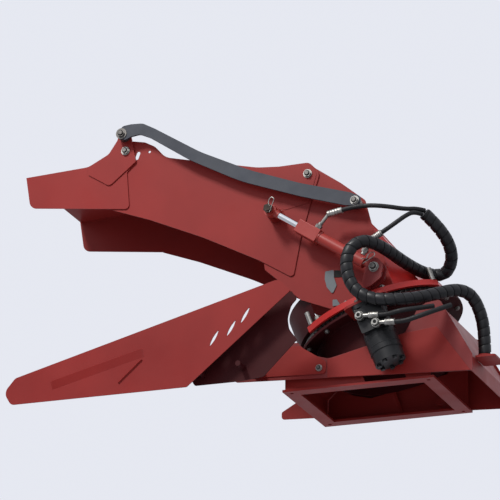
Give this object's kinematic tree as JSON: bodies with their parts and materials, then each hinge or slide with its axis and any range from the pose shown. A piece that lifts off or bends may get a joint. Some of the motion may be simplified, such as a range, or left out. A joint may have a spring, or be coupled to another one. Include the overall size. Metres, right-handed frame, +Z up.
{
  "type": "swivelling discharge chute of a straw blower",
  "caption": "Swivelling, folding discharge chute for a straw blower: tilted geared turntable with hydraulic motor, elbow, boom and end flap moved by a cylinder and a link bar.",
  "frame": {"origin": "centre of the base flange's bolt pattern, on the flange's underside", "axes": "+Z up from the flange, the chute blows towards -X, the cylinder, link bar and motor are on the -Y side"},
  "size_m": [1.633, 0.755, 1.0039],
  "materials": {
    "red_paint": "satin, weathered",
    "zinc": "dull zinc plate",
    "dark_slate_paint": "satin",
    "black_paint": "satin",
    "grey_plate": "satin",
    "ring_steel": "greased",
    "slide_plastic": "matt",
    "cylinder_paint": "satin",
    "rod_chrome": "polished",
    "hose_rubber": "matt"
  },
  "bodies": {
    "root": {"base_flange": "red_paint", "base_cheek_near": "red_paint", "base_cheek_far": "red_paint", "base_top_sheet": "red_paint", "base_rear_wall": "red_paint", "base_front_wall": "red_paint", "base_duct": "red_paint", "neck_tube": "red_paint", "bearing_flange": "red_paint", "slide_ring": "slide_plastic", "motor_bracket": "red_paint", "motor_housing": "black_paint", "motor_gerotor": "black_paint", "motor_end_cover": "black_paint", "motor_cover_bolts": "zinc", "motor_port_block": "black_paint", "motor_fittings": "zinc", "guard_panel": "red_paint", "guard_shield": "red_paint", "guard_stays": "red_paint", "guard_foot": "red_paint", "guard_foot_bolt": "zinc", "hose_bulkhead": "red_paint", "hose_motor_1": "hose_rubber", "hose_motor_2": "hose_rubber"},
    "pinion": {"drive_pinion": "ring_steel"},
    "swivel": {"turntable_disc": "red_paint", "slew_gear": "ring_steel", "disc_bolts": "zinc", "hose_guides": "zinc", "elbow_side_near": "red_paint", "elbow_side_far": "red_paint", "elbow_roof": "red_paint", "elbow_rear_wall": "red_paint", "elbow_facets": "red_paint", "elbow_apron": "red_paint", "inspection_covers": "grey_plate", "link_rear_bolt": "zinc", "boom_pivot_bolts": "zinc", "cylinder_clevis": "red_paint", "cylinder_base_pin": "zinc", "hose_bundle": "hose_rubber", "hose_rod_side": "hose_rubber", "hose_base_side": "hose_rubber"},
    "boom": {"boom_side_near": "red_paint", "boom_side_far": "red_paint", "boom_roof": "red_paint", "boom_doubler": "red_paint", "rod_boss": "red_paint", "flap_pivot_bolts": "zinc"},
    "flap": {"flap_side_near": "red_paint", "flap_side_far": "red_paint", "flap_lugs": "red_paint", "flap_roof": "red_paint", "link_front_bolt": "zinc"},
    "link": {"link_bar": "dark_slate_paint"},
    "barrel": {"cylinder_barrel": "cylinder_paint", "cylinder_fittings": "zinc"},
    "rod": {"piston_rod": "rod_chrome", "rod_eye": "cylinder_paint"}
  },
  "joints": [
    {"name": "slew", "type": "hinge", "parent": "root", "child": "swivel", "pos_m": [0, 0, 0.27], "axis": [-0.342, 0, 0.9397], "range_deg": [-60, 60], "deforming": ["hose_bundle", "hose_rod_side", "hose_base_side"]},
    {"name": "pinion_spin", "type": "hinge", "parent": "root", "child": "pinion", "pos_m": [0.04993, -0.30135, 0.28817], "axis": [-0.342, 0, 0.9397], "range_deg": [-455, 455]},
    {"name": "boom_fold", "type": "hinge", "parent": "swivel", "child": "boom", "pos_m": [-0.16, 0, 0.742], "axis": [0, -1, 0], "range_deg": [-8, 14]},
    {"name": "flap_fold", "type": "hinge", "parent": "boom", "child": "flap", "pos_m": [-0.81, 0, 0.899], "axis": [0, -1, 0], "range_deg": [-11, 19.2]},
    {"name": "link_swing", "type": "hinge", "parent": "swivel", "child": "link", "pos_m": [0.017, 0, 0.614], "axis": [0, -1, 0], "range_deg": [-6.5, 11.4]},
    {"name": "barrel_swing", "type": "hinge", "parent": "swivel", "child": "barrel", "pos_m": [0.093, -0.3, 0.363], "axis": [0, -1, 0], "range_deg": [-0.2, 0.3]},
    {"name": "rod_slide", "type": "slide", "parent": "barrel", "child": "rod", "axis": [-0.8321, 0, 0.5547], "range_m": [-0.043, 0.0246]}
  ],
  "couplings": [
    {"joint": "pinion_spin", "follows": "slew", "ratio": -7.5},
    {"joint": "flap_fold", "follows": "boom_fold", "ratio": 1.36},
    {"joint": "link_swing", "follows": "boom_fold", "ratio": 0.805},
    {"joint": "barrel_swing", "follows": "boom_fold", "ratio": 0.015},
    {"joint": "rod_slide", "follows": "boom_fold", "m_per_rad": -0.174}
  ]
}
